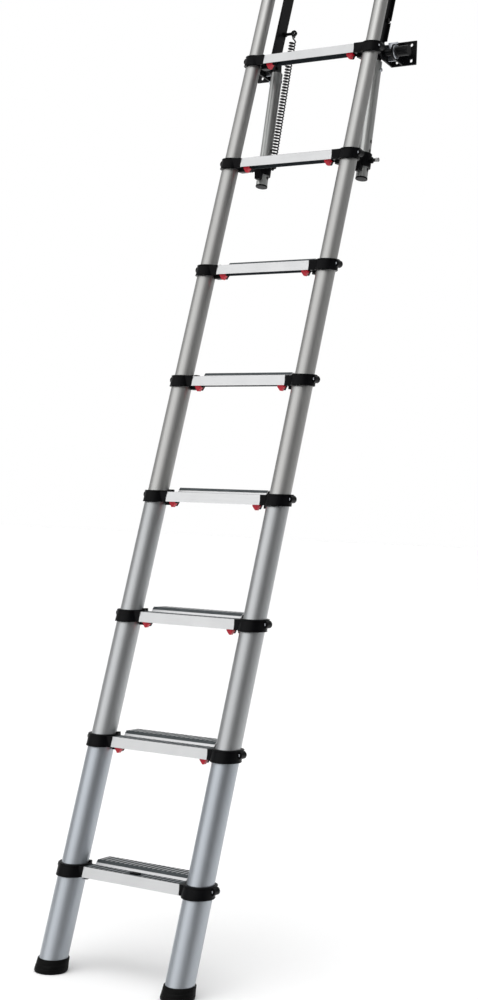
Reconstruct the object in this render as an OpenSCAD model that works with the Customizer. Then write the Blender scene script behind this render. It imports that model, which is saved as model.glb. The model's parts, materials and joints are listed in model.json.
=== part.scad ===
// Telescoping ladder with nine nested pairs of stiles, hung from two hatch brackets.
// X runs across the ladder, the climber stands on the -Y side, Z is up and the floor is at Z = 0.

/* [Ladder] */
// Distance between two steps, measured along the stile
pitch = 300; // [290:1:305]
// Lean of the stiles from the vertical, top away from the climber
lean = 18; // [17:0.5:19]
// Distance between the axes of the two stiles
stile_spacing = 344; // [342:1:350]
// Height of the lowest step above the floor
foot_height = 220; // [215:1:230]

/* [Stiles] */
// Outer diameter of the lowest and widest stile
bottom_od = 64; // [62:0.5:65]
// Wall thickness of every stile
wall = 1.5; // [1.2:0.1:1.5]
// Radial gap between one stile and the next
nest_gap = 0.3; // [0.3:0.05:0.4]
// Length of stile that stays inside the one below
overlap = 30; // [25:1:35]

/* [Steps] */
// Length of a step between its collars
step_width = 264; // [260:1:264]
// Length of the raised rear strip of a step
rear_width = 249; // [240:1:249]
// Height of the front face of a step
face_height = 23.5; // [22:0.5:24]
// Height of the collar band round a stile
band_height = 28; // [26:1:30]
// Thickness of the collar band
band_wall = 4.5; // [4:0.5:5]

/* [Locks] */
// Radius of a lock pin
pin_r = 4; // [3.5:0.1:4]
// Gap between a drawn pin and the inner stile
pin_rest_gap = 0.6; // [0.5:0.1:1]

/* [Hatch side] */
// Distance of the pivot behind the lowest step
pivot_reach = 728; // [726:1:730]
// Height of the pivot above the lowest step
pivot_rise = 2003; // [2000:1:2006]
// Length of the supporting tubes below the pivot
support_length = 333; // [325:1:340]
// Lean of the supporting tubes from the vertical
support_lean = 10.6; // [10:0.1:11]
// Distance of a supporting tube's axis from the middle
support_x = 147.5; // [147.5:0.5:148]
// Outer radius of the supporting tubes
support_r = 15; // [14.5:0.1:15]

/* [Hidden] */
$fn = 64;
sections = 9;
stile_x = stile_spacing / 2;
half_step = step_width / 2;
half_rear = rear_width / 2;
band = band_height / 2;
fit = 0.15;
run_fit = 0.08;
hole_r = pin_r + 0.3;
level_cut = 10;
slab = 300;

// Step outline: heights and depths from the centre of the collars
face_top = 11;
face_bottom = face_top - face_height;
face_lean = 5.5;
front_edge = -16.5;
riser_front = 18;
riser_back = 28;
strip_back = 73;
strip_top = 21.5;
flange_drop = 9.5;
sheet = 2;

// Shoe
sole_r = 37.5;
shoe_r = 35.5;
shoe_height = 30;
sole_height = 8;
shoe_floor = 8;

// Topmost section and the arms that carry it
top_stub = 60;
arm_x = 150.5;
arm_sheet = 5.5;
arm_top = 50;
arm_front = 30;
arm_back = 10;
eye_r = 16;
pivot_r = 6;

// Supporting tubes: distances along the tube are measured from its lower end
hole_pitch = 25;
first_hole = 20;
clamp_at = first_hole + hole_pitch;
tube_gap = 22;
clamp_half = 18;
spring_x = 122;
spring_r = 9.5;
spring_eye_rise = 97.5;
spring_eye_back = 2.5;
eye_nut_r = 7;
eye_nut = 4.9;
tube_bolt_drop = 45;
tube_bolt_r = 3;
low_head = 1.2;

// Hatch bracket
bracket_back = 47;
bracket_low = 26;
bracket_high = 35;
bracket_inner = 165;
bracket_outer = 236;
cheek = 4;
outer_cheek = 196;
fixing_x = 202;
fixing_half = 20;
fixing_rise = 5;
fixing_r = 4.3;

// The part stands on Z = 0 with its box centred on X = 0, Y = 0
front_extent = -foot_height * tan(lean) - sole_r / cos(lean);
pivot_from_top_y = pivot_reach - step_run(sections);
pivot_from_top_z = pivot_rise - step_lift(sections);
arm_low = pivot_from_top_y * sin(lean) + pivot_from_top_z * cos(lean);
arm_behind = pivot_from_top_y * cos(lean) - pivot_from_top_z * sin(lean);
back_extent = step_run(sections) + arm_top * sin(lean) + (arm_behind + arm_back) * cos(lean);
middle_y = (front_extent + back_extent) / 2;

function step_run(k) = (k - 1) * pitch * sin(lean);
function step_lift(k) = (k - 1) * pitch * cos(lean);
function tube_r(k) = bottom_od / 2 - (k - 1) * (wall + nest_gap);

// Places
module at_step(k) {
    translate([0, step_run(k) - middle_y, step_lift(k) + foot_height]) children();
}
module at_pivot() {
    translate([0, pivot_reach - middle_y, pivot_rise + foot_height]) children();
}
module lean_back() {
    rotate([-lean, 0, 0]) children();
}
module on_stile() {
    translate([stile_x, 0, 0]) lean_back() children();
}
module at_support() {
    at_pivot() translate([support_x, 0, 0]) rotate([-support_lean, 0, 0])
        translate([0, 0, -support_length]) children();
}
module both_sides() {
    children();
    mirror([1, 0, 0]) children();
}
module one_side(side) {
    if (side == "left") mirror([1, 0, 0]) children();
    else children();
}

// Shapes
module along_x(from, to, r, sides = $fn) {
    translate([from, 0, 0]) rotate([0, 90, 0]) cylinder(r = r, h = to - from, $fn = sides);
}
module outline_across(width) {
    rotate([90, 0, 90]) linear_extrude(width, center = true) children();
}
module between_levels(low, high) {
    intersection() {
        children();
        translate([-slab, -slab, low]) cube([2 * slab, 2 * slab, high - low]);
    }
}
module box(x, y, z) {
    translate([x[0], y[0], z[0]]) cube([x[1] - x[0], y[1] - y[0], z[1] - z[0]]);
}

// Stile tube of section k, from its open lower end to its level top inside the collar
module stile(k) {
    bottom = k == 1 ? foot_height / cos(lean) + sole_r : pitch + overlap;
    floor_cut = k == 1 ? shoe_floor - foot_height : -2 * pitch;
    top = k == sections ? top_stub : sole_r;
    top_cut = k == sections ? slab : level_cut;
    difference() {
        on_stile() difference() {
            translate([0, 0, -bottom]) cylinder(r = tube_r(k), h = bottom + top);
            translate([0, 0, -bottom - 1]) cylinder(r = tube_r(k) - wall, h = bottom + top + 2);
        }
        if (k < sections) {
            box([0, slab + stile_x], [-slab, slab], [top_cut, top_cut + slab]);
            along_x(stile_x - tube_r(k) - wall, stile_x, hole_r);
        }
        if (k == 1) box([0, slab + stile_x], [-slab, slab], [floor_cut - slab, floor_cut]);
        if (k > 1) translate([0, -pitch * sin(lean), -pitch * cos(lean)])
            along_x(stile_x - tube_r(k) - wall, stile_x, hole_r);
    }
}
module stiles(k) {
    color("silver") at_step(k) both_sides() stile(k);
}

// Step: a channel that holds the locks, a riser and a raised strip behind it
module step_outline() {
    face_foot = front_edge - face_lean;
    polygon([
        [face_foot, face_bottom], [front_edge, face_top], [riser_front, face_top],
        [riser_back, strip_top], [strip_back, strip_top], [strip_back, strip_top - flange_drop],
        [strip_back - sheet, strip_top - flange_drop], [strip_back - sheet, strip_top - sheet],
        [riser_back + 0.9, strip_top - sheet], [riser_front + 0.9, face_top - sheet],
        [riser_front - 1, face_top - sheet], [riser_front - 1, face_bottom],
        [riser_front - 1 - sheet, face_bottom], [riser_front - 1 - sheet, face_top - sheet],
        [front_edge + 1.6, face_top - sheet], [face_foot + 2.1, face_bottom]]);
}
module slider_slot() {
    slot_half = 11;
    slot_r = 5;
    for (x = [-slot_half, slot_half]) translate([x, 0, 0]) cylinder(r = slot_r, h = 20);
    box([-slot_half, slot_half], [-slot_r, slot_r], [0, 20]);
}
module tread(k) {
    color("gainsboro") at_step(k) difference() {
        outline_across(step_width) step_outline();
        both_sides() box([half_rear, half_step + 1], [riser_front + 0.2, slab], [-slab, slab]);
        if (k == 1) slider_slot();
    }
}

// Collar: band round the stile, block that enters the step, and the supports of its rear strip
module collar(k) {
    r = tube_r(k);
    block_x = half_step + 0.2;
    lip_r = k == sections ? r + fit : tube_r(k + 1) + nest_gap;
    boss_x = stile_x + r + band_wall - 2;
    difference() {
        union() {
            between_levels(-band, band) on_stile()
                translate([0, 0, -2 * sole_r]) cylinder(r = r + band_wall, h = 4 * sole_r);
            box([block_x, stile_x], [-20, 17], [1 - band, face_top + 0.5]);
            box([block_x - 4.2, block_x + 1], [-14.5, 14.5], [-10, 8.6]);
            box([block_x, 150], [-2, 18], [-21, 1 - band]);
            box([block_x, 150], [16, 31], [-12, 8.6]);
            box([143, 150], [16, 31], [8, 17]);
            box([114, 136], [19.5, 33.5], [-2, 8.6]);
            box([114, 122], [30, 68], [2, 19.2]);
            translate([boss_x, -4, 3]) rotate([-90, 0, 0]) cylinder(r = 9, h = 20);
        }
        between_levels(-3 * band, level_cut + 0.2) on_stile()
            translate([0, 0, -3 * sole_r]) cylinder(r = r + fit, h = 6 * sole_r);
        on_stile() translate([0, 0, -3 * sole_r]) cylinder(r = lip_r, h = 6 * sole_r);
        if (k < sections) along_x(100, stile_x, pin_r + 0.1);
    }
}
module collars(k) {
    color("dimgray") at_step(k) both_sides() collar(k);
}

// Lock of section k: a steel pin and its carrier, with a red nose and its black backing under
// steps 2 to 8
module latch_carrier(k) {
    difference() {
        union() {
            box([108, 127.4], [-13, 10], [-9, 6]);
            if (k == 1) along_x(17, 109, 2.5);
            if (k > 1) {
                translate([0, -4, 0]) rotate([90, 0, 0]) linear_extrude(10)
                    polygon([[108.5, -8], [127, -8], [127, -14], [120, -25.5],
                             [116, -25.5], [108.5, -16]]);
                translate([0, 6, 0]) rotate([90, 0, 0]) linear_extrude(11)
                    polygon([[109.5, -8], [126, -8], [126, -12], [120.5, -23],
                             [115.5, -23], [109.5, -14]]);
            }
        }
        along_x(112, 130, pin_r + 0.05);
    }
}
module latch(k, side) {
    at_step(k) one_side(side) {
        color(k == 1 ? "dimgray" : "crimson") latch_carrier(k);
        color("lightgray") along_x(112.1, stile_x - tube_r(k + 1) - pin_rest_gap, pin_r);
    }
}

// Slider in the lowest step that draws its two pins
module release_slider() {
    color("dimgray") at_step(1) union() {
        box([-11, 11], [-7, 7], [face_top + 0.3, face_top + 3.2]);
        box([-6, 6], [-3.6, 3.6], [8, face_top + 1]);
        box([-15, 15], [-9, 9], [3.2, 8.6]);
    }
}

module feet() {
    ground = -foot_height;
    color("dimgray") at_step(1) both_sides() difference() {
        union() {
            between_levels(ground, ground + shoe_height) on_stile()
                translate([0, 0, -foot_height - 80]) cylinder(r = shoe_r, h = 160);
            between_levels(ground, ground + sole_height) on_stile()
                translate([0, 0, -foot_height - 80]) cylinder(r = sole_r, h = 160);
        }
        between_levels(ground + shoe_floor - 0.1, ground + 2 * shoe_height) on_stile()
            translate([0, 0, -foot_height - 80]) cylinder(r = tube_r(1) + fit, h = 160);
    }
}

module top_caps() {
    color("dimgray") at_step(sections) both_sides() on_stile() {
        translate([0, 0, top_stub + 0.1]) cylinder(r = tube_r(sections), h = 3);
        translate([0, 0, top_stub - 12]) cylinder(r = tube_r(sections) - wall - fit, h = 13);
    }
}

// Arm of one side: a plate from the pivot to the topmost section, and the ring that grips the stile
module arm_plate() {
    difference() {
        union() {
            box([arm_x, arm_x + arm_sheet],
                [arm_behind - arm_front, arm_behind + arm_back], [arm_low, arm_top]);
            box([arm_x, arm_x + 12.5],
                [arm_behind + arm_back - 3, arm_behind + arm_back], [arm_low + 40, arm_top]);
            translate([0, arm_behind, arm_low]) along_x(arm_x, arm_x + arm_sheet, eye_r);
            translate([stile_x, 0, 24]) cylinder(r = tube_r(sections) + 5.4, h = 24);
            box([arm_x + 4, arm_x + 15], [12, arm_behind], [24, 48]);
        }
        translate([stile_x, 0, 0]) cylinder(r = tube_r(sections) + fit, h = slab);
        translate([0, arm_behind, arm_low]) along_x(arm_x - 1, arm_x + 8, pivot_r + run_fit);
        translate([0, arm_behind + spring_eye_back, arm_low + spring_eye_rise])
            along_x(arm_x - 1, arm_x + 8, 4.1);
        translate([0, arm_behind + spring_eye_back, arm_low + spring_eye_rise])
            along_x(arm_x + arm_sheet, arm_x + 14, eye_nut_r + 1);
        box([arm_x - 1, arm_x + arm_sheet + 0.5],
            [arm_behind - arm_front - 1, arm_behind - eye_r], [arm_low - 1, arm_low + 12]);
    }
}
module carrier_arms() {
    color("dimgray") both_sides() {
        at_step(sections) lean_back() arm_plate();
        at_support() difference() {
            box([arm_x - support_x, arm_x - support_x + arm_sheet], [-8, 8],
                [support_length - 70, support_length - pivot_r - 6]);
            translate([0, 0, support_length - tube_bolt_drop])
                along_x(-10, 20, tube_bolt_r + 0.1);
        }
    }
}

// Eye bolts of the springs, through the arms
module spring_eyes() {
    color("dimgray") both_sides() at_step(sections) lean_back()
        translate([0, arm_behind + spring_eye_back, arm_low + spring_eye_rise]) {
            difference() {
                union() {
                    along_x(spring_x, arm_x + arm_sheet + 5.5, 3.9);
                    translate([spring_x, 3, 0]) rotate([90, 0, 0]) cylinder(r = 8.5, h = 6);
                }
                translate([spring_x, 4, 0]) rotate([90, 0, 0]) cylinder(r = 4.4, h = 8);
            }
            along_x(arm_x + arm_sheet + 0.1, arm_x + arm_sheet + 0.1 + eye_nut, eye_nut_r,
                sides = 6);
            along_x(arm_x - 0.1 - eye_nut, arm_x - 0.1, eye_nut_r, sides = 6);
        }
}

// Supporting tubes with their adjusting holes
module support_tubes() {
    color("silver") both_sides() at_support() difference() {
        cylinder(r = support_r, h = support_length - tube_gap);
        translate([0, 0, -1]) cylinder(r = support_r - wall, h = support_length);
        for (i = [0:3]) translate([0, 0, first_hole + i * hole_pitch])
            along_x(-2 * support_r, 2 * support_r, pin_r + 0.8);
        translate([0, 0, support_length - tube_bolt_drop])
            along_x(-2 * support_r, 2 * support_r, tube_bolt_r + 0.2);
    }
}
module support_caps() {
    color("dimgray") both_sides() at_support() {
        translate([0, 0, -4.1]) cylinder(r = support_r + 0.6, h = 4);
        translate([0, 0, -1]) cylinder(r = support_r - wall - fit, h = 11);
    }
}
module support_bolts() {
    color("lightgray") both_sides() at_support()
        translate([0, 0, support_length - tube_bolt_drop]) {
            along_x(-support_r - low_head, support_r + 1, tube_bolt_r);
            along_x(support_r + 0.2, support_r + 3.6, 5.2, sides = 6);
            along_x(-support_r - low_head, -support_r - 0.2, 5);
        }
}

// Clamps that slide on the supporting tubes, with a hook, a pin boss and a spring lug
module support_clamps() {
    hook = [[-14, clamp_half], [-45, clamp_half], [-45, 8], [-34, 2], [-26, -34], [-17, -34],
            [-14, -clamp_half]];
    color("dimgray") both_sides() at_support() translate([0, 0, clamp_at]) difference() {
        union() {
            translate([0, 0, -clamp_half]) cylinder(r = support_r + 4.5, h = 2 * clamp_half);
            along_x(12, support_r + 10, 8);
            outline_across(16) polygon(hook);
            translate([0, 0, 4]) along_x(spring_x - support_x - 9, -12, 5);
        }
        translate([0, 0, -2 * clamp_half]) cylinder(r = support_r + 0.25, h = 4 * clamp_half);
        along_x(12, 40, pin_r + 0.7);
    }
}
module pull_pin(side) {
    grip = support_r + 20;
    color("dimgray") one_side(side) at_support() translate([0, 0, clamp_at]) union() {
        along_x(support_r + 0.3, support_r + 27, pin_r + 0.4);
        along_x(grip, support_r + 27.5, pin_r + 1.4);
    }
}

// Counterbalance springs, from the eye bolts to the lugs of the clamps
module support_springs() {
    low_y = -(support_length - clamp_at - 9.5) * sin(support_lean);
    low_z = -(support_length - clamp_at - 9.5) * cos(support_lean);
    eye_y = (arm_behind + spring_eye_back) * cos(lean) + (arm_low + spring_eye_rise) * sin(lean)
        - pivot_from_top_y;
    eye_z = (arm_low + spring_eye_rise) * cos(lean) - (arm_behind + spring_eye_back) * sin(lean)
        - pivot_from_top_z;
    reach = norm([eye_y - low_y, eye_z - low_z]);
    tilt = atan((eye_y - low_y) / (eye_z - low_z));
    color("dimgray") both_sides() at_pivot() translate([spring_x, low_y, low_z])
        rotate([-tilt, 0, 0]) {
            difference() {
                translate([0, 0, 12]) cylinder(r = spring_r, h = reach - 32);
                translate([0, 0, 14]) cylinder(r = spring_r - 3, h = reach - 36);
            }
            translate([0, 0, 0.4]) cylinder(r = 1.6, h = 12);
            translate([0, 0, reach - 20.5]) cylinder(r = 1.6, h = 11.5);
        }
}

// Bracket of one side: a back plate with four fixing holes and two cheeks for the pivot
module cheek_plate(x) {
    translate([x, 0, 0]) {
        along_x(0, cheek, 20);
        rotate([90, 0, 90]) linear_extrude(cheek)
            polygon([[0, 20], [bracket_back, bracket_high], [bracket_back, -bracket_low],
                     [0, -20]]);
    }
}
module mounting_bracket(side) {
    color("dimgray") one_side(side) at_pivot() difference() {
        union() {
            box([bracket_inner, bracket_outer], [bracket_back - 5, bracket_back],
                [-bracket_low, bracket_high]);
            cheek_plate(bracket_inner);
            cheek_plate(outer_cheek);
        }
        along_x(bracket_inner - 1, outer_cheek + 10, pivot_r + run_fit);
        for (x = [-fixing_half, fixing_half], z = [-fixing_half, fixing_half])
            translate([fixing_x + x, 0, fixing_rise + z]) rotate([-90, 0, 0])
                cylinder(r = fixing_r, h = 2 * bracket_back);
    }
}
module bracket_plates() {
    inner = bracket_inner + cheek + 0.2;
    color("lightsteelblue") both_sides() at_pivot() {
        box([inner, outer_cheek - 0.2], [17, 20], [-18, 30]);
        translate([0.5 * (inner + outer_cheek), 20, 20]) rotate([90, 0, 0])
            cylinder(r = 6, h = 8, $fn = 6);
    }
}

// Pivot bolts with their bushes, washers, hubs and retaining nuts
module pivot_bolts() {
    color("lightgray") both_sides() at_pivot() {
        along_x(arm_x - 4, 214, pivot_r);
        difference() {
            union() {
                along_x(arm_x - 3.8, arm_x - 0.3, 9, sides = 6);
                along_x(arm_x + arm_sheet + 0.4, bracket_inner - 0.2, 10);
                along_x(bracket_inner + cheek + 0.2, outer_cheek - 0.2, 9);
                along_x(outer_cheek + cheek + 0.2, outer_cheek + cheek + 3, 18);
                along_x(outer_cheek + cheek + 3.2, bracket_outer + 1, 13);
            }
            along_x(arm_x - 10, 214.2, pivot_r + 0.05);
        }
    }
}

for (k = [1:sections]) {
    stiles(k);
    tread(k);
    collars(k);
}
for (k = [1:sections - 1]) {
    latch(k, "left");
    latch(k, "right");
}
release_slider();
feet();
top_caps();
carrier_arms();
spring_eyes();
support_tubes();
support_caps();
support_clamps();
support_springs();
support_bolts();
pull_pin("left");  // pull_pin_left
pull_pin("right");  // pull_pin_right
mounting_bracket("left");  // mounting_bracket_left
mounting_bracket("right");  // mounting_bracket_right
bracket_plates();
pivot_bolts();
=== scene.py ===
import json
import math

import bmesh
import bpy
from mathutils import Matrix, Vector

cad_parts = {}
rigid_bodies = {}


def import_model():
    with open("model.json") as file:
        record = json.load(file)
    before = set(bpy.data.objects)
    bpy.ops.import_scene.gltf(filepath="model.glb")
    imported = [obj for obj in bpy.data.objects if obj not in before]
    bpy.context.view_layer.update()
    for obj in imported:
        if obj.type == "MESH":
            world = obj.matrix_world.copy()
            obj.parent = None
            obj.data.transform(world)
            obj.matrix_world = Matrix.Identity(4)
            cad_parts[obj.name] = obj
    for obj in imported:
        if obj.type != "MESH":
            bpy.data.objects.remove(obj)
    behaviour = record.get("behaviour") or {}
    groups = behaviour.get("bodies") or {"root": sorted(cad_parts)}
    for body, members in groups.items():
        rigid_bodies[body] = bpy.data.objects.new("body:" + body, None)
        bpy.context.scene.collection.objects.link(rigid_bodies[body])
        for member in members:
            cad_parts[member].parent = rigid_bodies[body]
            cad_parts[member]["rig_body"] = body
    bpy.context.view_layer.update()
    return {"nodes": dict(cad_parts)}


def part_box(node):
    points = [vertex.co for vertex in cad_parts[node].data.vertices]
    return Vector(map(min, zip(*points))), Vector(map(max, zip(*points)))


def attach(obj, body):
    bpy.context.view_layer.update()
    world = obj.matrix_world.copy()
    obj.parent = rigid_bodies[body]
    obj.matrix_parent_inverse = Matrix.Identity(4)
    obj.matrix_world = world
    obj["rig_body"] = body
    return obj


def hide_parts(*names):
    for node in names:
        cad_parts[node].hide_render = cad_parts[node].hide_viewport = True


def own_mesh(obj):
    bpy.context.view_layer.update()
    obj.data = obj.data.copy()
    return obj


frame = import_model()
scene = bpy.context.scene
scene.view_settings.view_transform = "Standard"
mm = 0.001

ladder = {
    "lean": math.radians(18),
    "sections": 9,
    "stileX": 172 * mm,
    "bottomRadius": 32 * mm,
    "radiusStep": 1.8 * mm,  # each section is thinner than the one below by this much
}


def stepCentre(k):  # middle of the collars of section k, from its tread
    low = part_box(f"tread_{k}")[0]
    return Vector((0, low.y + 22 * mm, low.z + 12.5 * mm))


def tubeRadius(k):
    return ladder["bottomRadius"] - (k - 1) * ladder["radiusStep"]


def bodyOf(node):
    return frame["nodes"][node]["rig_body"]



class Wire:  # a socket that takes part in plain arithmetic
    def __init__(self, tree, socket):
        self.tree, self.socket = tree, socket

    def maths(self, operation, first, second=None):
        node = self.tree.nodes.new("ShaderNodeMath")
        node.operation = operation
        feed(self.tree, node.inputs[0], first)
        feed(self.tree, node.inputs[1], second)
        return Wire(self.tree, node.outputs[0])

    def __add__(self, other):
        return self.maths("ADD", self, other)

    def __radd__(self, other):
        return self.maths("ADD", other, self)

    def __sub__(self, other):
        return self.maths("SUBTRACT", self, other)

    def __rsub__(self, other):
        return self.maths("SUBTRACT", other, self)

    def __mul__(self, other):
        return self.maths("MULTIPLY", self, other)

    def __rmul__(self, other):
        return self.maths("MULTIPLY", other, self)

    def above(self, level):
        return self.maths("GREATER_THAN", self, level)

    def below(self, level):
        return self.maths("LESS_THAN", self, level)

    def size(self):
        return self.maths("ABSOLUTE", self)

    def ramp(self, low, high):  # 0 at low, 1 at high, smooth between
        node = self.tree.nodes.new("ShaderNodeMapRange")
        node.interpolation_type = "SMOOTHSTEP"
        for index, value in enumerate((self, low, high, 0.0, 1.0)):
            feed(self.tree, node.inputs[index], value)
        return Wire(self.tree, node.outputs[0])


def feed(tree, socket, value):
    if isinstance(value, Wire):
        tree.links.new(value.socket, socket)
    elif value is not None:
        socket.default_value = value


class NodeBench:  # makes nodes in one tree
    def __init__(self, tree):
        self.tree = tree

    def node(self, kind, settings=None, inputs=None, output=0):
        made = self.tree.nodes.new(kind)
        for key, value in (settings or {}).items():
            setattr(made, key, value)
        for key, value in (inputs or {}).items():
            feed(self.tree, made.inputs[key], value)
        return Wire(self.tree, made.outputs[output]) if made.outputs else made


class Finish(NodeBench):  # a procedural material
    def __init__(self, name):
        self.material = bpy.data.materials.new(name)
        self.material.use_nodes = True
        super().__init__(self.material.node_tree)
        self.tree.nodes.clear()
        self.place = self.node("ShaderNodeTexCoord", output="Object")

    def along(self, scale, turn=(0, 0, 0)):  # object coordinates turned, then stretched
        spread = [1 / s for s in scale]
        return self.node("ShaderNodeMapping", {"vector_type": "TEXTURE"},
                         {"Vector": self.place, "Rotation": turn, "Scale": spread})

    def noise(self, coordinates, scale=1.0, detail=3.0, roughness=0.5):
        return self.node("ShaderNodeTexNoise", {},
                         {"Vector": coordinates, "Scale": scale, "Detail": detail,
                          "Roughness": roughness})

    def blend(self, amount, first, second):
        return self.node("ShaderNodeMix", {"data_type": "RGBA"},
                         {0: amount, 6: (*first, 1) if isinstance(first, tuple) else first,
                          7: (*second, 1) if isinstance(second, tuple) else second}, output=2)

    def bump(self, height, strength, distance):
        return self.node("ShaderNodeBump", {},
                         {"Height": height, "Strength": strength, "Distance": distance})

    def done(self, **sockets):
        named = {key.replace("_", " "): value for key, value in sockets.items()}
        shader = self.node("ShaderNodeBsdfPrincipled", {}, named)
        self.node("ShaderNodeOutputMaterial", {}, {"Surface": shader})
        return self.material


tubeLook = {
    "lowColour": (0.44, 0.47, 0.505),  # the lower sections read bluer
    "highColour": (0.48, 0.48, 0.47),
    "roughness": 0.4,
    "streaks": 0.05,
}


def satinTube(name, coolness):
    finish = Finish(name)
    lean = (-ladder["lean"], 0, 0)
    streak = finish.noise(finish.along((520, 520, 5), lean), detail=4)
    cloud = finish.noise(finish.along((9, 9, 3), lean), detail=2)
    scuff = finish.noise(finish.along((60, 60, 30), lean), detail=6, roughness=0.7)
    low, high = tubeLook["lowColour"], tubeLook["highColour"]
    base = tuple(h + (l - h) * coolness for l, h in zip(low, high))
    dull = tuple(c * 0.86 for c in base)
    colour = finish.blend(cloud.ramp(0.3, 0.7) * 0.4 + streak * 0.15, base, dull)
    rough = tubeLook["roughness"] + (streak - 0.5) * tubeLook["streaks"] \
        + scuff.ramp(0.62, 0.75) * 0.12
    return finish.done(Base_Color=colour, Metallic=1.0, Roughness=rough,
                       Normal=finish.bump(streak, 0.05, 0.0002))


def brushedTread(name, base, roughness, grain=(6, 700, 700)):
    finish = Finish(name)
    brush = finish.noise(finish.along(grain), detail=4)
    cloud = finish.noise(finish.along((14, 14, 14)), detail=2)
    dull = tuple(c * 0.88 for c in base)
    colour = finish.blend(brush * 0.5 + cloud.ramp(0.35, 0.7) * 0.35, base, dull)
    return finish.done(Base_Color=colour, Metallic=0.85, Roughness=roughness + brush * 0.08,
                       Normal=finish.bump(brush, 0.15, 0.0002))


def gritStrip(name, base, roughness):
    finish = Finish(name)
    grit = finish.noise(finish.along((900, 900, 900)), detail=3)
    wear = finish.noise(finish.along((35, 60, 60)), detail=5, roughness=0.65)
    lighter = tuple(min(1, c * 1.7 + 0.02) for c in base)
    colour = finish.blend(wear.ramp(0.5, 0.78) * 0.55 + grit * 0.2, base, lighter)
    return finish.done(Base_Color=colour, Metallic=0.25, Roughness=roughness + grit * 0.1,
                       Normal=finish.bump(grit, 0.35, 0.0003))


def moulded(name, base, roughness, grain=1100, grainDepth=0.25, gloss=0.22):
    finish = Finish(name)
    pores = finish.noise(finish.along((grain, grain, grain)), detail=2)
    flow = finish.noise(finish.along((45, 45, 45)), detail=4, roughness=0.6)
    dusty = tuple(min(1, c * 1.5 + 0.002) for c in base)
    colour = finish.blend(flow.ramp(0.45, 0.8) * 0.6, base, dusty)
    return finish.done(Base_Color=colour, Metallic=0.0,
                       Roughness=roughness + (flow - 0.5) * 0.14, Specular_IOR_Level=gloss,
                       Normal=finish.bump(pores, grainDepth, 0.0002))


def platedSteel(name, base, roughness, blotch=0.3):
    finish = Finish(name)
    spangle = finish.node("ShaderNodeTexVoronoi", {},
                          {"Vector": finish.along((160, 160, 160)), "Scale": 1.0})
    fine = finish.noise(finish.along((700, 700, 700)), detail=3)
    dull = tuple(c * 0.7 for c in base)
    colour = finish.blend(spangle * blotch + fine * 0.25, base, dull)
    return finish.done(Base_Color=colour, Metallic=1.0, Roughness=roughness + fine * 0.12,
                       Normal=finish.bump(fine, 0.12, 0.0002))


finishes = {
    "tubeLow": satinTube("satinTubeLow", 1.0),
    "tubeMiddle": satinTube("satinTubeMiddle", 0.4),
    "tubeHigh": satinTube("satinTubeHigh", 0.0),
    "tread": brushedTread("brushedTread", (0.62, 0.625, 0.63), 0.36),
    "strip": gritStrip("slateStrip", (0.03, 0.038, 0.042), 0.5),
    "rib": brushedTread("ribAluminium", (0.55, 0.56, 0.57), 0.42),
    # painted shade: near-black finish on the tread's underside and channel inside, standing in for
    # the shadow there
    "paintedShadeUnderside": moulded("treadUnderside", (0.02, 0.024, 0.028), 0.55, 600, 0.2, 0.1),
    "supportTube": brushedTread("supportTube", (0.5, 0.51, 0.5), 0.3, (500, 500, 8)),
    "black": moulded("blackPlastic", (0.002, 0.002, 0.0025), 0.33, gloss=0.08),
    "red": moulded("redPlastic", (0.47, 0.006, 0.022), 0.34, 900, 0.15, 0.35),
    "rubber": moulded("footRubber", (0.003, 0.003, 0.003), 0.5, 700, 0.4, 0.07),
    "steel": moulded("blackSteel", (0.003, 0.003, 0.0035), 0.34, 420, 0.3, 0.14),
    "spring": platedSteel("springSteel", (0.04, 0.04, 0.042), 0.22, 0.15),
    "zinc": platedSteel("zincSteel", (0.68, 0.71, 0.76), 0.28),
    "tip": platedSteel("pinTip", (0.42, 0.42, 0.42), 0.35),
}
print("finishes made")



def addPiece(name, mesh, body, nodes=()):
    piece = bpy.data.objects.new(name, mesh)
    scene.collection.objects.link(piece)
    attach(piece, body)
    if nodes:
        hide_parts(*nodes)
    return piece


def meshFrom(name, points, faces, materials=(), smoothAngle=35, tidyNormals=True):
    mesh = bpy.data.meshes.new(name)
    mesh.from_pydata([tuple(p) for p in points], [], faces)
    for material in materials:
        mesh.materials.append(material)
    if tidyNormals:
        work = bmesh.new()
        work.from_mesh(mesh)
        bmesh.ops.remove_doubles(work, verts=work.verts, dist=1e-6)
        bmesh.ops.recalc_face_normals(work, faces=work.faces)
        work.to_mesh(mesh)
        work.free()
    mesh.shade_smooth()
    mesh.set_sharp_from_angle(angle=math.radians(smoothAngle))
    return mesh


def roundedCopy(node, name, materials, bevel=0.0, pick=None):
    source = frame["nodes"][node].data
    work = bmesh.new()
    work.from_mesh(source)
    bmesh.ops.remove_doubles(work, verts=work.verts, dist=1e-5)
    bmesh.ops.dissolve_limit(work, angle_limit=math.radians(0.6), verts=work.verts,
                             edges=work.edges)
    points = [v.co.copy() for v in work.verts]
    work.verts.index_update()
    faces = [[v.index for v in f.verts] for f in work.faces]
    choices = [pick(f.calc_center_median(), f.normal) if pick else 0 for f in work.faces]
    work.free()
    mesh = meshFrom(name, points, faces, materials, tidyNormals=False)
    mesh.polygons.foreach_set("material_index", choices)
    piece = addPiece(name, mesh, bodyOf(node), [node])
    if bevel:
        edge = piece.modifiers.new("softEdges", "BEVEL")
        edge.width, edge.segments, edge.limit_method = bevel, 2, "ANGLE"
        edge.angle_limit, edge.harden_normals = math.radians(38), True
    return piece


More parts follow.
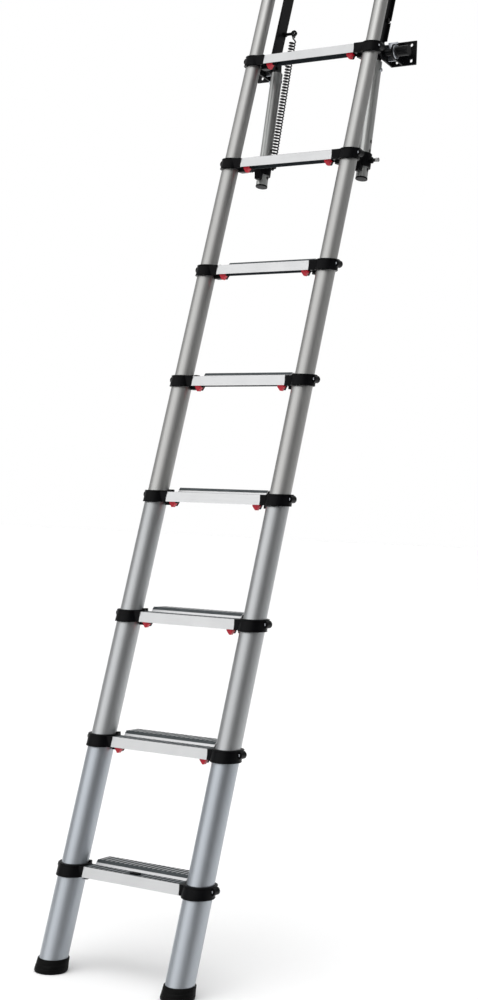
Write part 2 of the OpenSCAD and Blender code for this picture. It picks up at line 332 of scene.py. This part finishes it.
def joinMeshes(name, parts, materials, smoothAngle=35):
    work = bmesh.new()
    for mesh, matrix in parts:
        loose = mesh.copy()
        loose.transform(matrix)
        work.from_mesh(loose)
        bpy.data.meshes.remove(loose)
    made = bpy.data.meshes.new(name)
    bmesh.ops.recalc_face_normals(work, faces=work.faces)
    work.to_mesh(made)
    work.free()
    for material in materials:
        made.materials.append(material)
    made.shade_smooth()
    made.set_sharp_from_angle(angle=math.radians(smoothAngle))
    return made


def sweepTube(path, radius, sides=8):  # points and faces of a wire with closed ends
    points, faces = [], []
    across = None
    for i, here in enumerate(path):
        ahead = (path[min(i + 1, len(path) - 1)] - path[max(i - 1, 0)]).normalized()
        first = Vector((1, 0, 0)) if abs(ahead.x) < 0.8 else Vector((0, 1, 0))
        guide = across if across else first
        across = (guide - ahead * guide.dot(ahead)).normalized()
        other = ahead.cross(across)
        for s in range(sides):
            turn = 2 * math.pi * s / sides
            points.append(here + radius * (math.cos(turn) * across + math.sin(turn) * other))
    for i in range(len(path) - 1):
        for s in range(sides):
            a, b = i * sides + s, i * sides + (s + 1) % sides
            faces.append([a, b, b + sides, a + sides])
    last = (len(path) - 1) * sides
    faces += [list(range(sides))[::-1], [last + s for s in range(sides)]]
    return points, faces


def levelStack(axisAt, profile, sides=72):  # closed solid of level rings round a leaning tube
    points, faces = [], []
    stretch = 1 / math.cos(ladder["lean"])
    for z, r in profile:
        centre = axisAt(z)
        for s in range(sides):
            turn = 2 * math.pi * s / sides
            points.append(centre + Vector((r * math.cos(turn), r * stretch * math.sin(turn), 0)))
    rings = len(profile)
    for i in range(rings):
        j = (i + 1) % rings
        for s in range(sides):
            t = (s + 1) % sides
            faces.append([i * sides + s, i * sides + t, j * sides + t, j * sides + s])
    return points, faces


def growMesh(tree, values, points=((0, 0, 0),)):  # runs a geometry tree and keeps a plain mesh
    seed = bpy.data.meshes.new("seed")
    seed.from_pydata([tuple(p) for p in points], [], [])
    holder = bpy.data.objects.new("seed", seed)
    scene.collection.objects.link(holder)
    grow = holder.modifiers.new("grow", "NODES")
    grow.node_group = tree
    for item in tree.interface.items_tree:
        if item.in_out == "INPUT" and item.name in values:
            grow[item.identifier] = values[item.name]
    bpy.context.view_layer.update()
    ready = bpy.context.evaluated_depsgraph_get()
    made = bpy.data.meshes.new_from_object(holder.evaluated_get(ready))
    holder.modifiers.remove(grow)
    bpy.data.objects.remove(holder)
    return made


class GrowTree(NodeBench):  # a geometry tree with named inputs
    def __init__(self, name, inputs):
        group = bpy.data.node_groups.new(name, "GeometryNodeTree")
        super().__init__(group)
        group.interface.new_socket("Geometry", in_out="OUTPUT", socket_type="NodeSocketGeometry")
        group.interface.new_socket("Geometry", in_out="INPUT", socket_type="NodeSocketGeometry")
        for label, kind in inputs.items():
            group.interface.new_socket(label, in_out="INPUT", socket_type="NodeSocket" + kind)
        self.source = group.nodes.new("NodeGroupInput")

    def value(self, label):
        return Wire(self.tree, self.source.outputs[label])

    def finish(self, geometry, material):
        plain = self.node("GeometryNodeRealizeInstances", {}, {0: geometry})
        painted = self.node("GeometryNodeSetMaterial", {},
                            {"Geometry": plain, "Material": material}) if material else plain
        self.node("NodeGroupOutput", {}, {0: painted})
        return self.tree


def ribTree():
    bench = GrowTree("treadRibs", {"ribCount": "Int", "ribPitch": "Float", "ribWidth": "Float",
                                   "ribLength": "Float", "ribHeight": "Float",
                                   "ribTaper": "Float", "slotHalf": "Float",
                                   "ribFinish": "Material"})
    count, pitch = bench.value("ribCount"), bench.value("ribPitch")
    start = bench.node("ShaderNodeCombineXYZ", {}, {0: (count - 1) * pitch * -0.5})
    stride = bench.node("ShaderNodeCombineXYZ", {}, {0: pitch})
    row = bench.node("GeometryNodeMeshLine", {"mode": "OFFSET"},
                     {"Count": count, "Start Location": start, "Offset": stride})
    spot = bench.node("GeometryNodeInputPosition")
    spotX = bench.node("ShaderNodeSeparateXYZ", {}, {0: spot})
    clear = spotX.size().below(bench.value("slotHalf"))
    kept = bench.node("GeometryNodeDeleteGeometry", {"domain": "POINT"},
                      {"Geometry": row, "Selection": clear})
    block = bench.node("ShaderNodeCombineXYZ", {}, {0: bench.value("ribWidth"),
                                                    1: bench.value("ribLength"),
                                                    2: bench.value("ribHeight")})
    bar = bench.node("GeometryNodeMeshCube", {}, {"Size": block})
    place = bench.node("GeometryNodeInputPosition")
    parts = bench.tree.nodes.new("ShaderNodeSeparateXYZ")
    feed(bench.tree, parts.inputs[0], place)
    x, z = Wire(bench.tree, parts.outputs[0]), Wire(bench.tree, parts.outputs[2])
    pinch = bench.node("ShaderNodeCombineXYZ", {}, {0: x * z.above(0.0) * bench.value("ribTaper")
                                                    * -1})
    rib = bench.node("GeometryNodeSetPosition", {}, {"Geometry": bar, "Offset": pinch})
    ribs = bench.node("GeometryNodeInstanceOnPoints", {}, {"Points": kept, "Instance": rib})
    return bench.finish(ribs, bench.value("ribFinish"))


def coilTree():
    bench = GrowTree("springCoil", {"turns": "Float", "coilRadius": "Float",
                                    "wireRadius": "Float", "coilLength": "Float",
                                    "wireFinish": "Material"})
    spiral = bench.node("GeometryNodeCurveSpiral", {},
                        {"Resolution": 18, "Rotations": bench.value("turns"),
                         "Start Radius": bench.value("coilRadius"),
                         "End Radius": bench.value("coilRadius"),
                         "Height": bench.value("coilLength")})
    ring = bench.node("GeometryNodeCurvePrimitiveCircle", {},
                      {"Resolution": 7, "Radius": bench.value("wireRadius")})
    wire = bench.node("GeometryNodeCurveToMesh", {},
                      {"Curve": spiral, "Profile Curve": ring, "Fill Caps": True})
    return bench.finish(wire, bench.value("wireFinish"))


def screwTree():
    bench = GrowTree("bossScrews", {"headRadius": "Float", "headDepth": "Float",
                                    "socketRadius": "Float", "faceTurn": "Vector",
                                    "headFinish": "Material", "socketFinish": "Material"})
    headR, depth = bench.value("headRadius"), bench.value("headDepth")
    head = bench.node("GeometryNodeMeshCone", {},
                      {"Vertices": 16, "Radius Top": headR * 0.8, "Radius Bottom": headR,
                       "Depth": depth})
    paintedHead = bench.node("GeometryNodeSetMaterial", {},
                             {"Geometry": head, "Material": bench.value("headFinish")})
    socket = bench.node("GeometryNodeMeshCylinder", {},
                        {"Vertices": 6, "Radius": bench.value("socketRadius"),
                         "Depth": depth * 0.5})
    lift = bench.node("ShaderNodeCombineXYZ", {}, {2: depth * 0.78})
    raised = bench.node("GeometryNodeTransform", {}, {"Geometry": socket, "Translation": lift})
    paintedSocket = bench.node("GeometryNodeSetMaterial", {},
                               {"Geometry": raised, "Material": bench.value("socketFinish")})
    both = bench.tree.nodes.new("GeometryNodeJoinGeometry")
    feed(bench.tree, both.inputs[0], paintedSocket)
    feed(bench.tree, both.inputs[0], paintedHead)
    screws = bench.node("GeometryNodeInstanceOnPoints", {},
                        {"Points": bench.value("Geometry"),
                         "Instance": Wire(bench.tree, both.outputs[0]),
                         "Rotation": bench.value("faceTurn")})
    return bench.finish(screws, None)


ribs, coils, screws = ribTree(), coilTree(), screwTree()
print("geometry trees made")


treadLook = {
    "rearCount": 19, "rearPitch": 12.9 * mm, "rearWidth": 4.6 * mm, "rearLength": 42 * mm,
    "frontCount": 19, "frontPitch": 13.4 * mm, "frontWidth": 1.8 * mm, "frontLength": 29 * mm,
    "ribHeight": 0.7 * mm, "ribTaper": 0.3, "slotHalf": 21 * mm,
    "gripNose": [(22.8 * mm, 16.04 * mm), (28.3 * mm, 21.6 * mm), (28 * mm, 22.1 * mm),
                 (22.3 * mm, 16.4 * mm)],  # behind and above the step's middle
}
collarLook = {
    "edge": 0.8 * mm, "lip": 1.1 * mm, "bandHalf": 14 * mm, "bandWall": 4.5 * mm,
    "screwRadius": 3.4 * mm, "screwDepth": 1 * mm, "socketRadius": 1.5 * mm,
}


def makeStile(k):
    tone = "tubeLow" if k < 3 else "tubeMiddle" if k < 5 else "tubeHigh"
    roundedCopy(f"stiles_{k}", f"stileTubes_{k}", [finishes[tone]])


def makeTread(k):
    centre = stepCentre(k)

    def surface(place, normal):
        local = place - centre
        inward = normal.y < -0.3 and normal.z < 0.1 and local.y > -10 * mm
        if normal.z < -0.4 or inward:  # inside and under the channel: painted shade, a near-black finish where the shadow falls
            return 2
        onFront = abs(local.z - 11 * mm) < 0.6 * mm and local.y < 18.2 * mm
        onRear = abs(local.z - 21.5 * mm) < 0.6 * mm
        return 1 if normal.z > 0.9 and (onFront or onRear) else 0

    roundedCopy(f"tread_{k}", f"treadExtrusion_{k}",
                [finishes["tread"], finishes["strip"], finishes["paintedShadeUnderside"]], 0.5 * mm, surface)
    look = treadLook
    rear = growMesh(ribs, {"ribCount": look["rearCount"], "ribPitch": look["rearPitch"],
                           "ribWidth": look["rearWidth"], "ribLength": look["rearLength"],
                           "ribHeight": look["ribHeight"], "ribTaper": look["ribTaper"],
                           "slotHalf": 0.0, "ribFinish": finishes["rib"]})
    front = growMesh(ribs, {"ribCount": look["frontCount"], "ribPitch": look["frontPitch"],
                            "ribWidth": look["frontWidth"], "ribLength": look["frontLength"],
                            "ribHeight": look["ribHeight"], "ribTaper": look["ribTaper"],
                            "slotHalf": look["slotHalf"] if k == 1 else 0.0,
                            "ribFinish": finishes["rib"]})
    sink = look["ribHeight"] * 0.2
    parts = [(rear, Matrix.Translation(centre + Vector((0, 50.5 * mm, 21.5 * mm + sink)))),
             (front, Matrix.Translation(centre + Vector((0, 0.6 * mm, 11 * mm + sink))))]
    addPiece(f"treadRibs_{k}", joinMeshes(f"treadRibs_{k}", parts, [finishes["rib"]]),
             bodyOf(f"tread_{k}"))
    corners = [v.co for v in frame["nodes"][f"tread_{k}"].data.vertices]
    reach = max(abs(c.x) for c in corners if c.y - centre.y > 60 * mm)
    nose = [centre + Vector((x, y, z)) for x in (-reach, reach) for y, z in look["gripNose"]]
    sides = [[0, 1, 2, 3], [4, 5, 6, 7]]
    sides += [[i, (i + 1) % 4, (i + 1) % 4 + 4, i + 4] for i in range(4)]
    addPiece(f"gripNose_{k}", meshFrom(f"gripNose_{k}", nose, sides, [finishes["strip"]]),
             bodyOf(f"tread_{k}"))


def makeCollar(k):
    node, centre, look = f"collars_{k}", stepCentre(k), collarLook
    roundedCopy(node, f"collarShells_{k}", [finishes["black"]], look["edge"])
    band = tubeRadius(k) + look["bandWall"]
    points, faces, spots = [], [], []
    for side in (1, -1):
        def axisAt(z, side=side):
            rise = z - centre.z
            return Vector((side * ladder["stileX"], centre.y + rise * math.tan(ladder["lean"]), z))

        lipLevel = look["bandHalf"] - 1.6 * mm
        for level, size in ((lipLevel, 1.0), (-lipLevel, 0.7)):
            lip, z = look["lip"] * size, centre.z + level
            profile = [(z - lip, band - 1 * mm), (z - lip, band + 0.2 * mm),
                       (z - lip * 0.6, band + lip), (z + lip * 0.6, band + lip),
                       (z + lip, band + 0.2 * mm), (z + lip, band - 1 * mm)]
            more, sides = levelStack(axisAt, profile)
            faces += [[i + len(points) for i in f] for f in sides]
            points += more
        boss = ladder["stileX"] + tubeRadius(k) + 2.5 * mm
        spots.append((side * boss, centre.y - 4.3 * mm, centre.z + 3 * mm))
    addPiece(f"collarLips_{k}", meshFrom(f"collarLips_{k}", points, faces, [finishes["black"]]),
             bodyOf(node))
    heads = growMesh(screws, {"headRadius": look["screwRadius"], "headDepth": look["screwDepth"],
                              "socketRadius": look["socketRadius"],
                              "faceTurn": (math.radians(90), 0, 0),
                              "headFinish": finishes["zinc"], "socketFinish": finishes["steel"]},
                     spots)
    heads.shade_smooth()
    heads.set_sharp_from_angle(angle=math.radians(35))
    addPiece(f"collarScrews_{k}", heads, bodyOf(node))


for k in range(1, ladder["sections"] + 1):
    makeStile(k)
    makeTread(k)
    makeCollar(k)
print("stiles, treads and collars made")


lockLook = {"noseTop": -11.6 * mm, "pinFrom": 127.6 * mm, "frontOfBacking": -4.2 * mm}


def makeLock(k, side):
    centre, look = stepCentre(k), lockLook

    def surface(place, normal):
        local = place - centre
        if abs(local.x) > look["pinFrom"]:
            return 2
        redHere = local.z < look["noseTop"] and local.y < look["frontOfBacking"] + 0.4 * mm
        return 1 if redHere and k > 1 else 0

    roundedCopy(f"latch_{side}_{k}", f"lock_{side}_{k}",
                [finishes["black"], finishes["red"], finishes["zinc"]], 0.5 * mm, surface)


for k in range(1, ladder["sections"]):
    makeLock(k, "left")
    makeLock(k, "right")

sliderLook = {"gripCount": 5, "gripPitch": 3.2 * mm, "gripWidth": 1.3 * mm, "gripLength": 9 * mm,
              "gripHeight": 0.8 * mm}
roundedCopy("release_slider", "releaseSlider", [finishes["black"]], 0.6 * mm)
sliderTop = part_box("release_slider")
grip = growMesh(ribs, {"ribCount": sliderLook["gripCount"], "ribPitch": sliderLook["gripPitch"],
                       "ribWidth": sliderLook["gripWidth"], "ribLength": sliderLook["gripLength"],
                       "ribHeight": sliderLook["gripHeight"], "ribTaper": 0.4, "slotHalf": 0.0,
                       "ribFinish": finishes["black"]})
gripSpot = Vector((0, (sliderTop[0].y + sliderTop[1].y) / 2, sliderTop[1].z))
addPiece("sliderGrip", joinMeshes("sliderGrip", [(grip, Matrix.Translation(gripSpot))],
                                  [finishes["black"]]), bodyOf("release_slider"))
print("locks and slider made")


shoeLook = {  # height above the floor and radius, both in millimetres, outside then inside
    "profile": [(0, 33.5), (0.8, 35.2), (2.4, 36.8), (5, 37.4), (8, 37.3), (10, 37.0),
                (10.6, 36.2), (11.8, 36.2), (12.4, 36.7), (18, 36.1), (18.6, 35.4), (19.8, 35.4),
                (20.4, 35.8), (28.6, 35.2), (29.8, 34.4), (29.8, 32.4), (24, 32.3), (8.2, 32.3),
                (7.9, 20), (7.9, 2), (0.9, 2), (0.9, 31.5)],
}
firstStep = stepCentre(1)
points, faces = [], []
for side in (1, -1):
    def shoeAxis(z, side=side):
        rise = z - firstStep.z
        return Vector((side * ladder["stileX"], firstStep.y + rise * math.tan(ladder["lean"]), z))

    more, sides = levelStack(shoeAxis, [(z * mm, r * mm) for z, r in shoeLook["profile"]])
    faces += [[i + len(points) for i in f] for f in sides]
    points += more
addPiece("rubberShoes", meshFrom("rubberShoes", points, faces, [finishes["rubber"]]),
         bodyOf("feet"), ["feet"])
print("shoes made")


springLook = {
    "turns": 40.0, "coilRadius": 7.5 * mm, "wireRadius": 1.9 * mm, "x": 122 * mm,
    "lowEnd": (-51.2 * mm, -273.7 * mm),  # behind and above the pivot
    "eye": (32.5 * mm, 91.96 * mm), "lug": (-52.24 * mm, -279.15 * mm),
    "coilFrom": 13.5 * mm, "coilTo": 23 * mm, "keep": 0.867,
}
boltLow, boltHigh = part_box("pivot_bolts")
pivot = Vector((0, (boltLow.y + boltHigh.y) / 2, (boltLow.z + boltHigh.z) / 2))
lowEnd = pivot + Vector((0, *springLook["lowEnd"]))
eye = pivot + Vector((0, *springLook["eye"]))
springLine = (eye - lowEnd).normalized()
springLength = (eye - lowEnd).length
tilt = math.atan2(springLine.y, springLine.z)


def hook(middle, radius, start, turn, steps=22):  # open loop seen from the ladder's side
    angles = [start + turn * i / steps for i in range(steps + 1)]
    return [middle + radius * Vector((0, math.sin(a), math.cos(a))) for a in angles]


def smoothPath(stations, steps=6):
    path = []
    for i in range(len(stations) - 1):
        a, b = stations[max(i - 1, 0)], stations[i]
        c, d = stations[i + 1], stations[min(i + 2, len(stations) - 1)]
        for s in range(steps):
            t = s / steps
            path.append(0.5 * (2 * b + (c - a) * t + (2 * a - 5 * b + 4 * c - d) * t * t
                               + (3 * b - a - 3 * c + d) * t ** 3))
    return path + [stations[-1]]


def makeSpring(side, name):
    look = springLook
    shift = Vector((side * look["x"], 0, 0))
    coil = growMesh(coils, {"turns": look["turns"], "coilRadius": look["coilRadius"],
                            "wireRadius": look["wireRadius"],
                            "coilLength": springLength - look["coilFrom"] - look["coilTo"],
                            "wireFinish": finishes["spring"]})
    turned = Matrix.Translation(lowEnd + shift + springLine * look["coilFrom"]) \
        @ Matrix.Rotation(-tilt, 4, "X")
    edge = Vector((look["coilRadius"], 0, 0))
    lug = pivot + Vector((0, *look["lug"]))
    rim = eye - springLine * 6.45 * mm
    up = math.atan2(springLine.y, springLine.z)
    lowLoop = hook(lug, 6.9 * mm, up + 0.25, -5.6)[::-1]
    topLoop = hook(rim, 6.2 * mm, up + math.pi + 0.2, 5.4)
    lowPath = smoothPath([p + shift for p in lowLoop[::3]]
                         + [lowEnd + shift + springLine * 7 * mm,
                            lowEnd + shift + edge * 0.6 + springLine * 11 * mm,
                            lowEnd + shift + edge + springLine * look["coilFrom"]])
    topPath = smoothPath([eye + shift + edge - springLine * look["coilTo"],
                          eye + shift + edge * 0.6 - springLine * 19 * mm,
                          eye + shift - springLine * 15 * mm]
                         + [p + shift for p in topLoop[::3]])
    ends = [meshFrom("springEnd", *sweepTube(path, look["wireRadius"]), [finishes["spring"]])
            for path in (lowPath, topPath)]
    mesh = joinMeshes(name, [(coil, turned)] + [(end, Matrix.Identity(4)) for end in ends],
                      [finishes["spring"]], 60)
    return mesh


for side, word in ((1, "right"), (-1, "left")):
    mesh = makeSpring(side, f"coilSpring_{word}")
    spring = addPiece(f"coilSpring_{word}", mesh, bodyOf("support_springs"),
                      ["support_springs"])
    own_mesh(spring)
print("springs made")


hatchLook = {
    "top_caps": ("topCaps", "black_plastic", "black", 0.5),
    "carrier_arms": ("carrierArms", "black_steel", "steel", 0.6),
    "spring_eyes": ("springEyes", "black_steel", "steel", 0.4),
    "support_tubes": ("supportTubes", "support_aluminium", "supportTube", 0),
    "support_caps": ("supportCaps", "black_plastic", "black", 0.7),
    "support_bolts": ("supportBolts", "zinc_steel", "zinc", 0.3),
    "support_clamps": ("supportClamps", "black_plastic", "black", 0.9),
    "mounting_bracket_left": ("bracketLeft", "black_steel", "steel", 0.6),
    "mounting_bracket_right": ("bracketRight", "black_steel", "steel", 0.6),
    "bracket_plates": ("bracketPlates", "zinc_steel", "zinc", 0.4),
}
for node, (name, slotName, tone, edge) in hatchLook.items():
    roundedCopy(node, name, [finishes[tone]], edge * mm)

washerLook = {"from": 200 * mm, "to": 203.1 * mm, "edge": 0.4 * mm}


def washerFace(place, normal):
    away = math.hypot(place.y - pivot.y, place.z - pivot.z)
    inside = washerLook["from"] < abs(place.x) < washerLook["to"]
    return 1 if inside and (away > 6.3 * mm or abs(normal.x) > 0.9) else 0


roundedCopy("pivot_bolts", "pivotBolts", [finishes["steel"], finishes["zinc"]],
            washerLook["edge"], washerFace)

pinLook = {"tipLength": 4 * mm, "edge": 0.5 * mm}
for word in ("left", "right"):
    low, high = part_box(f"pull_pin_{word}")
    reach = max(abs(low.x), abs(high.x)) - pinLook["tipLength"]
    roundedCopy(f"pull_pin_{word}", f"pullPin_{word}",
                [finishes["steel"], finishes["tip"]], pinLook["edge"],
                lambda place, normal: 1 if abs(place.x) > reach else 0)
print("hatch side made")


studio = {
    "floorHalf": 40.0, "floorColour": (0.98, 0.98, 0.98),
    "fill": 0.45, "bright": 1.3, "ceiling": 1.5, "glow": 0.7, "shade": -0.16, "dark": -0.24,
    "brightWay": (-0.42, -0.9, 0), "glowWay": (-0.53, -0.85, -0.1),
    "shadeWay": (0.95, 0.17, 0.26), "darkWay": (0.747, -0.485, 0.454),
    "keyPlace": (0.4, -0.8, 6.2), "keySize": 2.6, "keyPower": 50,
    "aim": (0, 0, 1.2),
}
camera = {
    "place": (2.173, -3.4378, 1.069), "right": (0.8458, 0.5323, 0.0363),
    "up": (-0.0302, -0.0202, 0.9993), "forward": (-0.5327, 0.8463, 0.0011), "lens": 60.68,
}

floorFinish = Finish("studioFloor")
dust = floorFinish.noise(floorFinish.along((3, 3, 3)), detail=3)
floorTone = floorFinish.blend(dust * 0.3, studio["floorColour"], (0.96, 0.96, 0.96))
floorMaterial = floorFinish.done(Base_Color=floorTone, Roughness=0.9)
half = studio["floorHalf"]
floorMesh = meshFrom("studioFloor", [(-half, -half, 0), (half, -half, 0), (half, half, 0),
                                     (-half, half, 0)], [[0, 1, 2, 3]], [floorMaterial])
floor = bpy.data.objects.new("studioFloor", floorMesh)
scene.collection.objects.link(floor)

world = bpy.data.worlds.new("softStudio")
scene.world = world
world.use_nodes = True
world.node_tree.nodes.clear()
sky = NodeBench(world.node_tree)
way = sky.node("ShaderNodeTexCoord", output="Generated")


def towards(direction):
    unit = Vector(direction).normalized()
    return sky.node("ShaderNodeVectorMath", {"operation": "DOT_PRODUCT"},
                    {0: way, 1: tuple(unit)}, output="Value")


rise = towards((0, 0, 1))
softBox = towards(studio["brightWay"]).ramp(0.55, 0.85) * rise.ramp(0.24, 0.36) \
    * (1 - rise.ramp(0.52, 0.7))
level = studio["fill"] + softBox * studio["bright"] \
    + rise.ramp(0.62, 0.92) * studio["ceiling"] \
    + towards(studio["glowWay"]).ramp(0.85, 0.98) * studio["glow"] \
    + towards(studio["shadeWay"]).ramp(0.45, 0.75) * studio["shade"] \
    + towards(studio["darkWay"]).ramp(0.8, 0.97) * studio["dark"]
seen = sky.node("ShaderNodeLightPath", output="Is Camera Ray")
strength = seen + (1 - seen) * level
backdrop = sky.node("ShaderNodeBackground", {}, {"Color": (1, 1, 1, 1), "Strength": strength})
sky.node("ShaderNodeOutputWorld", {}, {"Surface": backdrop})

keyData = bpy.data.lights.new("softKey", "AREA")
keyData.shape, keyData.size, keyData.energy = "SQUARE", studio["keySize"], studio["keyPower"]
key = bpy.data.objects.new("softKey", keyData)
key.location = studio["keyPlace"]
key.rotation_euler = (Vector(studio["aim"]) - key.location).to_track_quat("-Z", "Y").to_euler()
key.visible_camera = False
scene.collection.objects.link(key)

lens = bpy.data.cameras.new("viewer")
lens.lens, lens.sensor_width, lens.clip_end = camera["lens"], 36, 200
viewer = bpy.data.objects.new("viewer", lens)
turn = Matrix((camera["right"], camera["up"], tuple(-Vector(camera["forward"])))).transposed()
viewer.matrix_world = Matrix.Translation(camera["place"]) @ turn.to_4x4()
scene.collection.objects.link(viewer)
scene.camera = viewer
print("studio made")
